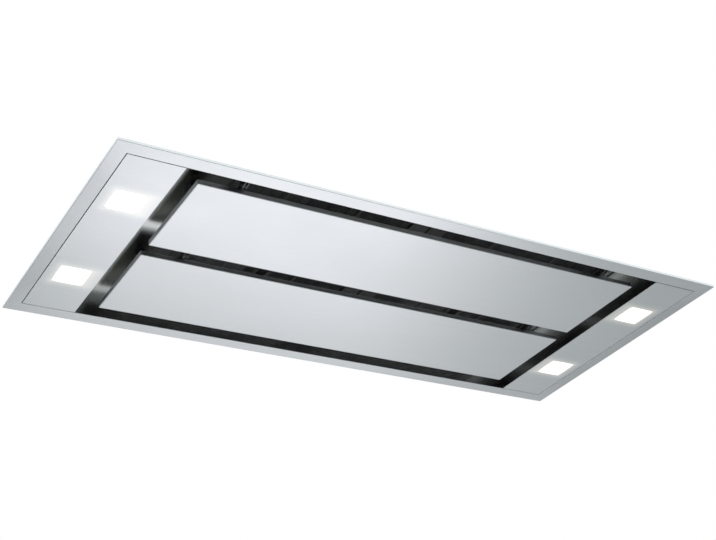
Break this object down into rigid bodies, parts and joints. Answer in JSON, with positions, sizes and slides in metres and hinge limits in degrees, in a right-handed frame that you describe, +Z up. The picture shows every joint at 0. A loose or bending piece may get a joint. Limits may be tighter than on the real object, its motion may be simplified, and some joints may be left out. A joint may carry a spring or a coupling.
{
  "type": "ceiling range hood",
  "caption": "Flush ceiling range hood: brushed steel frame with corner square lamps, twin drop-down panels with air slots round them, mesh filters, blower and round side duct collar",
  "frame": {"origin": "centre of the visible underside of the flange, on its lowest plane", "axes": "+X along the length to the right, +Y away from the near side, +Z up into the ceiling"},
  "size_m": [1.1, 0.5, 0.336],
  "materials": {
    "brushed_steel": "brushed",
    "polished_steel": "polished",
    "galvanised_steel": "spangled zinc",
    "aluminium_sheet": "bright rolled",
    "filter_aluminium": "satin",
    "latch_plastic": "matte",
    "lamp_aluminium": "cast satin",
    "lamp_lens": "frosted",
    "led_board": "white solder mask",
    "spring_steel": "satin",
    "zinc_steel": "zinc plated",
    "blackened_steel": "blackened",
    "catch_plastic": "matte",
    "dark_plastic": "satin",
    "damper_aluminium": "satin",
    "turned_steel": "ground",
    "motor_steel": "satin",
    "rubber": "matte",
    "capacitor_plastic": "satin",
    "pale_plastic": "satin"
  },
  "bodies": {
    "case": {"cable_gland": "catch_plastic", "capacitor": "capacitor_plastic", "case_screws": "zinc_steel", "centre_beam": "polished_steel", "control_box": "pale_plastic", "control_box_lid": "pale_plastic", "damper_pin": "turned_steel", "fan_scroll": "dark_plastic", "filter_frame_far_left": "filter_aluminium", "filter_frame_far_right": "filter_aluminium", "filter_frame_near_left": "filter_aluminium", "filter_frame_near_right": "filter_aluminium", "filter_mesh_far_left": "filter_aluminium", "filter_mesh_far_right": "filter_aluminium", "filter_mesh_near_left": "filter_aluminium", "filter_mesh_near_right": "filter_aluminium", "filter_rails": "polished_steel", "flange_frame": "brushed_steel", "hanging_brackets": "galvanised_steel", "hinge_brackets": "blackened_steel", "hinge_pins": "blackened_steel", "lamp_clips": "spring_steel", "lamp_housing_far_left": "lamp_aluminium", "lamp_housing_far_right": "lamp_aluminium", "lamp_housing_near_left": "lamp_aluminium", "lamp_housing_near_right": "lamp_aluminium", "lamp_lens_far_left": "lamp_lens", "lamp_lens_far_right": "lamp_lens", "lamp_lens_near_left": "lamp_lens", "lamp_lens_near_right": "lamp_lens", "lamp_plate_left": "brushed_steel", "lamp_plate_right": "brushed_steel", "led_boards": "led_board", "led_driver": "pale_plastic", "motor": "motor_steel", "motor_box": "galvanised_steel", "motor_box_lid": "galvanised_steel", "motor_spider": "galvanised_steel", "outlet_collar": "dark_plastic", "panel_catches": "catch_plastic", "plenum_shell": "galvanised_steel", "recess_liner": "polished_steel", "rubber_grommets": "rubber"},
    "panel_near": {"panel_near_back": "aluminium_sheet", "panel_near_hinge_arms": "blackened_steel", "panel_near_skin": "brushed_steel", "panel_near_strikers": "zinc_steel"},
    "panel_far": {"panel_far_back": "aluminium_sheet", "panel_far_hinge_arms": "blackened_steel", "panel_far_skin": "brushed_steel", "panel_far_strikers": "zinc_steel"},
    "fan": {"impeller": "galvanised_steel", "impeller_blades": "galvanised_steel", "impeller_shaft": "turned_steel"},
    "flap_left": {"damper_flap_left": "damper_aluminium"},
    "flap_right": {"damper_flap_right": "damper_aluminium"},
    "latch_near_left": {"filter_latch_near_left": "latch_plastic"},
    "latch_near_right": {"filter_latch_near_right": "latch_plastic"},
    "latch_far_left": {"filter_latch_far_left": "latch_plastic"},
    "latch_far_right": {"filter_latch_far_right": "latch_plastic"}
  },
  "joints": [
    {"name": "panel_near_swing", "type": "hinge", "parent": "case", "child": "panel_near", "pos_m": [0, -0.203, 0.012], "axis": [-1, 0, 0], "range_deg": [0, 90]},
    {"name": "panel_far_swing", "type": "hinge", "parent": "case", "child": "panel_far", "pos_m": [0, 0.007, 0.012], "axis": [-1, 0, 0], "range_deg": [0, 90]},
    {"name": "fan_spin", "type": "hinge", "parent": "case", "child": "fan", "pos_m": [0, -0.045, 0.183], "axis": [1, 0, 0], "continuous": true},
    {"name": "flap_left_swing", "type": "hinge", "parent": "case", "child": "flap_left", "pos_m": [0, 0.184, 0.2335], "axis": [0, 0, -1], "range_deg": [0, 75], "stiffness_Nm_per_rad": 0.02, "springref_deg": -17.19},
    {"name": "flap_right_swing", "type": "hinge", "parent": "case", "child": "flap_right", "pos_m": [0, 0.184, 0.2335], "axis": [0, 0, 1], "range_deg": [0, 75], "stiffness_Nm_per_rad": 0.02, "springref_deg": -17.19},
    {"name": "latch_near_left_slide", "type": "slide", "parent": "case", "child": "latch_near_left", "axis": [0, -1, 0], "range_m": [0, 0.007], "stiffness_N_per_m": 300, "springref_m": -0.004},
    {"name": "latch_near_right_slide", "type": "slide", "parent": "case", "child": "latch_near_right", "axis": [0, -1, 0], "range_m": [0, 0.007], "stiffness_N_per_m": 300, "springref_m": -0.004},
    {"name": "latch_far_left_slide", "type": "slide", "parent": "case", "child": "latch_far_left", "axis": [0, 1, 0], "range_m": [0, 0.007], "stiffness_N_per_m": 300, "springref_m": -0.004},
    {"name": "latch_far_right_slide", "type": "slide", "parent": "case", "child": "latch_far_right", "axis": [0, 1, 0], "range_m": [0, 0.007], "stiffness_N_per_m": 300, "springref_m": -0.004}
  ]
}
